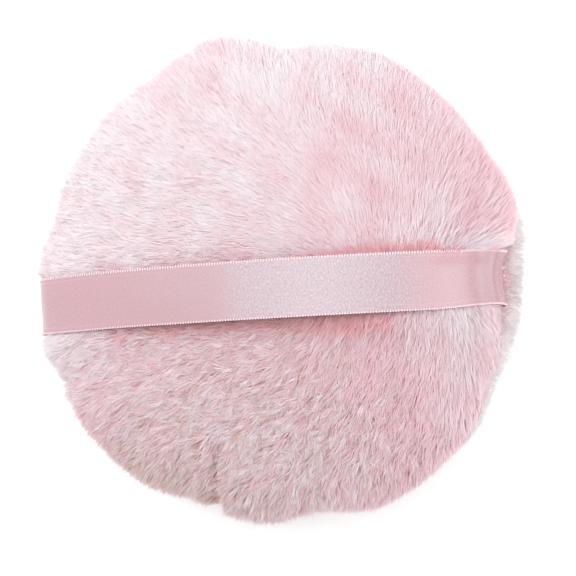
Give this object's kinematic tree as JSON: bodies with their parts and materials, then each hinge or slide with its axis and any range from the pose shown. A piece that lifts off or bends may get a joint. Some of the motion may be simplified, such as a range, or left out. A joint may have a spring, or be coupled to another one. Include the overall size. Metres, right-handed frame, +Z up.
{
  "type": "powder puff",
  "caption": "Round plush powder puff of stuffed covers sewn rim to rim, with a satin ribbon strap arched across its back for the fingers.",
  "frame": {"origin": "middle of the flat powder face that the puff rests on", "axes": "+Z up out of the powder face, towards the ribbon; +X along the ribbon"},
  "size_m": [0.1038, 0.102, 0.0347],
  "materials": {
    "plush_back": "long soft pile",
    "plush_front": "long soft pile",
    "wadding": "loose fibre",
    "satin_ribbon": "satin weave",
    "sewing_thread": "spun thread"
  },
  "bodies": {
    "puff": {"back_cover": "plush_back", "front_cover": "plush_front", "fill_pad": "wadding", "seam_needle_thread": "sewing_thread", "seam_bobbin_thread": "sewing_thread", "closing_stitch": "sewing_thread", "ribbon_right_end": "satin_ribbon", "ribbon_left_end": "satin_ribbon"},
    "strap": {"ribbon_strap": "satin_ribbon"}
  },
  "joints": [
    {"name": "strap_lift", "type": "slide", "parent": "puff", "child": "strap", "axis": [0, 0, 1], "range_m": [0, 0.009]}
  ]
}
